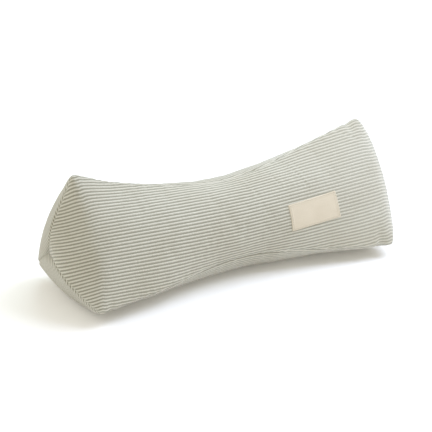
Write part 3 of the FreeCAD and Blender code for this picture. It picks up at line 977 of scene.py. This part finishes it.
def make_label(front):
    right = (2 * seam_clustered(LABEL_COLUMNS) - 1) * LABEL_HALF_LENGTH
    down = (2 * seam_clustered(LABEL_LINES) - 1) * LABEL_HALF_WIDTH
    right, down = np.meshgrid(right, down, indexing="ij")
    points = front.over(*on_label(right, down), label_lift(right, down))
    patch = grid_object("label", points, np.stack([down, right], -1), LABEL_CLOTH * 0.8)
    material = plain_cloth("label_cloth", (0.665, 0.588, 0.468), (0.62, 0.543, 0.421), 0.00075, 0.00012)
    finish_piece(patch, PILLOW, material, ["label_patch"])


def stitch_run(start, end, pitch):
    """The middles of the stitches of one straight run, as shares of the run."""
    length = math.hypot(end[0] - start[0], end[1] - start[1])
    count = int(length / pitch)
    return (np.arange(count) + 0.5) / count


def make_stitches(name, rows, radius, length):
    """Stitches as small arched threads. rows holds arrays of middles, directions and outward normals."""
    rings, sides = 6, 6
    share = np.linspace(0, 1, rings)
    swell = 0.55 + 0.45 * np.sqrt(np.sin(math.pi * np.clip(share, 0.01, 0.99)))
    verts, faces, cloth = [], [], []
    for middle, ahead, out in rows:
        aside = np.cross(ahead, out)
        first = len(verts)
        for s, r in zip(share, swell):
            arch = radius * (1.2 * math.sin(math.pi * s) - 0.3)
            centre = middle + ahead * (s - 0.5) * length + out * arch
            for k in range(sides):
                turn = 2 * math.pi * k / sides
                verts.append(centre + radius * r * (math.cos(turn) * aside + math.sin(turn) * out))
                cloth.append((turn, s * length))
        for ring in range(rings - 1):
            for k in range(sides):
                a, b = first + ring * sides + k, first + ring * sides + (k + 1) % sides
                faces.append((a, b, b + sides, a + sides))
        faces.append(tuple(first + k for k in range(sides))[::-1])
        faces.append(tuple(first + (rings - 1) * sides + k for k in range(sides)))
    piece = new_mesh_object(name, verts, faces)
    lay_cloth(piece.data, np.array(cloth))
    return piece


def seats(panel, along, across, ahead_along, ahead_across, lift):
    """Middles, directions and normals of stitches that lie on a panel."""
    step = 0.0005
    middle = panel.over(along, across, lift)
    ahead = unit(panel.over(along + step * ahead_along, across + step * ahead_across, lift) - middle)
    out = unit(panel.over(along, across, lift + step) - middle)
    return zip(middle, ahead, out)


def make_label_stitches(front):
    half_length = LABEL_HALF_LENGTH - STITCH_INSET
    half_width = LABEL_HALF_WIDTH - STITCH_INSET
    corners = [
        (-half_length, -half_width),
        (half_length, -half_width),
        (half_length, half_width),
        (-half_length, half_width),
    ]
    rows = []
    for start, end in zip(corners, corners[1:] + corners[:1]):
        share = stitch_run(start, end, LABEL_STITCH_PITCH)
        right = start[0] + (end[0] - start[0]) * share
        down = start[1] + (end[1] - start[1]) * share
        run = math.hypot(end[0] - start[0], end[1] - start[1])
        a, b = (end[0] - start[0]) / run, (end[1] - start[1]) / run
        cos, sin = math.cos(LABEL_TURN), math.sin(LABEL_TURN)
        lift = label_lift(right, down)
        rows += seats(front, *on_label(right, down), a * cos + b * sin, b * cos - a * sin, lift)
    piece = make_stitches("label_stitching", rows, LABEL_THREAD, LABEL_STITCH)
    material = twisted_thread("thread", (0.62, 0.57, 0.47), (0.40, 0.36, 0.28))
    finish_piece(piece, PILLOW, material, ["label_stitches"])
    return material


# ---------------------------------------------------------------- the zip

TAPE_EDGES = (0.00065, 0.00825)
TAPE_OVER = -0.0002
TAPE_CLOTH = 0.0007
COIL_PITCH = 0.0015
COIL_WIRE = 0.00034
COIL_MIDDLE = 0.00170
COIL_HALF_WIDTH = 0.00098
COIL_HALF_HEIGHT = 0.00066
COIL_OUT = 0.0008
TOPSTITCH = 0.0076
TOPSTITCH_PITCH = 0.0036
TOPSTITCH_LENGTH = 0.0028
TOPSTITCH_THREAD = 0.00026


def make_tapes():
    material = tape_weave()
    along = np.linspace(-ZIP_HALF, ZIP_HALF, 113)
    across = np.linspace(*TAPE_EDGES, 9)
    for name, side in (("upper", 1), ("lower", -1)):
        distance, aside = np.meshgrid(along, across if side > 0 else -across[::-1], indexing="ij")
        sag = 0.00012 * wander(distance + aside, 51 + side, 0.006, 0.02)
        points = zip_point(distance, aside, TAPE_OVER - np.abs(sag))
        piece = grid_object(f"zip_tape_{name}_woven", points, np.stack([aside, distance], -1), TAPE_CLOTH)
        finish_piece(piece, PILLOW, material, [f"zip_tape_{name}"])


def make_coils():
    """Each coil is one filament wound along its tape; the two lie half a turn apart."""
    material = moulded_nylon()
    steps, sides = 10, 5
    loops = int(2 * COIL_HALF / COIL_PITCH)
    turn = np.arange(loops * steps + 1) / steps
    for name, side in (("upper", 1), ("lower", -1)):
        phase = 2 * math.pi * turn + (0 if side > 0 else math.pi)
        distance = (turn / loops - 0.5) * 2 * (COIL_HALF - COIL_WIRE)
        aside = side * (COIL_MIDDLE + COIL_HALF_WIDTH * np.cos(phase))
        out = COIL_OUT + COIL_HALF_HEIGHT * np.sin(phase)
        path = zip_point(distance, aside, out)
        ahead = unit(np.gradient(path, axis=0))
        beside = unit(np.cross(ahead, ZIP_OUT))
        over = np.cross(beside, ahead)
        around = 2 * math.pi * np.arange(sides) / sides
        ring = np.cos(around)[:, None] * beside[:, None] + np.sin(around)[:, None] * over[:, None]
        verts = (path[:, None] + COIL_WIRE * ring).reshape(-1, 3)
        faces = []
        for n in range(len(path) - 1):
            for k in range(sides):
                a, b = n * sides + k, n * sides + (k + 1) % sides
                faces.append((a, b, b + sides, a + sides))
        piece = new_mesh_object(f"zip_coil_{name}_wound", verts, faces)
        piece.data.polygons.foreach_set("use_smooth", [True] * len(faces))
        finish_piece(piece, PILLOW, material, [f"zip_coil_{name}"])


def bevelled_copy(node, name, body, material, width):
    """A CAD node's shape with its flat faces joined and its edges rounded."""
    mesh = frame["nodes"][node].data.copy()
    mesh.name = name
    made = bpy.data.objects.new(name, mesh)
    bpy.context.collection.objects.link(made)
    edit = bmesh.new()
    edit.from_mesh(mesh)
    bmesh.ops.remove_doubles(edit, verts=edit.verts, dist=1e-6)
    bmesh.ops.dissolve_limit(edit, angle_limit=math.radians(1.5), verts=edit.verts, edges=edit.edges)
    edit.to_mesh(mesh)
    edit.free()
    bevel = made.modifiers.new("edges", "BEVEL")
    bevel.width = width
    bevel.segments = 3
    bevel.angle_limit = math.radians(35)
    bevel.harden_normals = True
    finish_piece(made, body, material, [node])


def make_topstitching(panels, material):
    """A row of stitches on each side of the zip."""
    for panel, side in ((panels[REAR_LOW - 1], 1), (panels[REAR_LOW], -1)):
        along = np.arange(-ZIP_HALF + 0.004, ZIP_HALF - 0.004, TOPSTITCH_PITCH)
        width = np.interp(along, panel.run, panel.width)
        across = side * (width / 2 - TOPSTITCH)
        rows = seats(panel, along, across, 1.0, np.gradient(across, along), np.zeros(len(along)))
        name = f"zip_topstitching_{PANELS[panel.index]}"
        piece = make_stitches(name, rows, TOPSTITCH_THREAD, TOPSTITCH_LENGTH)
        finish_piece(piece, PILLOW, material)


def make_zip(panels, thread):
    make_tapes()
    make_coils()
    metal = plated_metal()
    bevelled_copy("zip_slider", "slider_body", SLIDER, metal, 0.00028)
    bevelled_copy("zip_pull", "slider_pull", PULL, metal, 0.00030)
    bevelled_copy("zip_top_stops", "top_stops", PILLOW, metal, 0.00022)
    bevelled_copy("zip_bottom_stop", "bottom_stop", PILLOW, metal, 0.00022)
    make_topstitching(panels, thread)


# ---------------------------------------------------------------- inside the cover

CASE_DEPTH = 0.0050
CASE_CLOTH = 0.0008
FILLING_DEPTH = 0.0085
INSIDE_ROWS = 3
INSIDE_COLUMNS = 4


def inner_points(panel, depth):
    """A coarser grid a depth inside the panel, closed where the zip parts the cover."""
    points = panel.points.copy()
    if panel.index == REAR_LOW - 1:
        points[:, -1] = surface(panel.index, panel.rows, np.ones((len(panel.rows), 1)))[:, 0]
    if panel.index == REAR_LOW:
        points[:, 0] = surface(panel.index, panel.rows, np.zeros((len(panel.rows), 1)))[:, 0]
    points = (points + inward(points) * depth)[::INSIDE_ROWS, ::INSIDE_COLUMNS]
    cloth = np.stack([panel.cloth_across, panel.cloth_along], -1)[::INSIDE_ROWS, ::INSIDE_COLUMNS]
    return points, cloth


def make_inside(panels):
    case = plain_cloth("case_cloth", (0.83, 0.82, 0.79), (0.74, 0.73, 0.70), 0.0006, 0.0001, 0.15)
    grids = []
    for panel, side in zip(panels, PANELS):
        points, cloth = inner_points(panel, CASE_DEPTH)
        piece = grid_object(f"inner_case_{side}", points, cloth, CASE_CLOTH)
        finish_piece(piece, PILLOW, case, [f"inner_case_{side}_panel"])
        grids.append(inner_points(panel, FILLING_DEPTH)[0])
    rows, columns = grids[0].shape[:2]
    faces = []
    for n in range(3):
        faces += [tuple(v + n * rows * columns for v in face) for face in grid_faces(rows, columns)]
    core = new_mesh_object("filling", np.concatenate([g.reshape(-1, 3) for g in grids]), faces)
    weld(core.data)
    core.data.polygons.foreach_set("use_smooth", [True] * len(core.data.polygons))
    finish_piece(core, PILLOW, fibre_fleece(), ["filling_core"])


panels = stuffed_panels()
make_cover(panels)
make_label(panels[0])
thread = make_label_stitches(panels[0])
make_zip(panels, thread)
make_inside(panels)


# ---------------------------------------------------------------- floor, light and camera

VIEW_AZIMUTH = -30.8
VIEW_ELEVATION = 23.7
VIEW_ROLL = 0.55
VIEW_DISTANCE = 4.13
FRAME_PIXELS = 432
FOCAL_PIXELS = 2630
VIEW_CENTRE = (218.2, 218.3)
SENSOR = 36.0


def towards(azimuth, elevation):
    """Unit vector from the pillow towards a viewer."""
    a, e = math.radians(azimuth), math.radians(elevation)
    return Vector((math.sin(a) * math.cos(e), -math.cos(a) * math.cos(e), math.sin(e)))


def aim(obj, target):
    obj.rotation_euler = (target - obj.location).to_track_quat("-Z", "Y").to_euler()


def make_camera():
    data = bpy.data.cameras.new("camera")
    camera = bpy.data.objects.new("camera", data)
    bpy.context.collection.objects.link(camera)
    target = Vector((0, 0, AXIS_HEIGHT))
    camera.location = target + towards(VIEW_AZIMUTH, VIEW_ELEVATION) * VIEW_DISTANCE
    aim(camera, target)
    camera.rotation_euler.rotate_axis("Z", math.radians(VIEW_ROLL))
    data.sensor_width = SENSOR
    data.lens = FOCAL_PIXELS * SENSOR / FRAME_PIXELS
    data.shift_x = (FRAME_PIXELS / 2 - VIEW_CENTRE[0]) / FRAME_PIXELS
    data.shift_y = (VIEW_CENTRE[1] - FRAME_PIXELS / 2) / FRAME_PIXELS
    data.clip_end = 100
    bpy.context.scene.camera = camera


def make_light(name, azimuth, elevation, distance, width, power, colour=(1, 1, 1)):
    data = bpy.data.lights.new(name, "AREA")
    data.shape = "DISK"
    data.size = width
    data.energy = power
    data.color = colour
    light = bpy.data.objects.new(name, data)
    bpy.context.collection.objects.link(light)
    target = Vector((0, 0, AXIS_HEIGHT))
    light.location = target + towards(azimuth, elevation) * distance
    aim(light, target)


def make_studio():
    floor = new_mesh_object("floor", [(-9, -9, 0), (9, -9, 0), (9, 9, 0), (-9, 9, 0)], [(0, 1, 2, 3)])
    floor.data.materials.append(plain_floor())
    world = bpy.data.worlds.new("studio")
    world.use_nodes = True
    world.node_tree.nodes["Background"].inputs["Color"].default_value = (1.0, 0.98, 0.895, 1)
    world.node_tree.nodes["Background"].inputs["Strength"].default_value = 0.75
    bpy.context.scene.world = world
    make_light("key", 70, 55, 1.3, 1.1, 16, (0.72, 0.80, 1.0))
    make_light("back", 150, 55, 1.6, 1.0, 6.4, (0.71, 0.91, 1.0))
    make_light("rim", -120, 35, 2.0, 1.2, 7, (1.0, 0.97, 0.9))
    bpy.context.scene.view_settings.view_transform = "Standard"


make_studio()
make_camera()
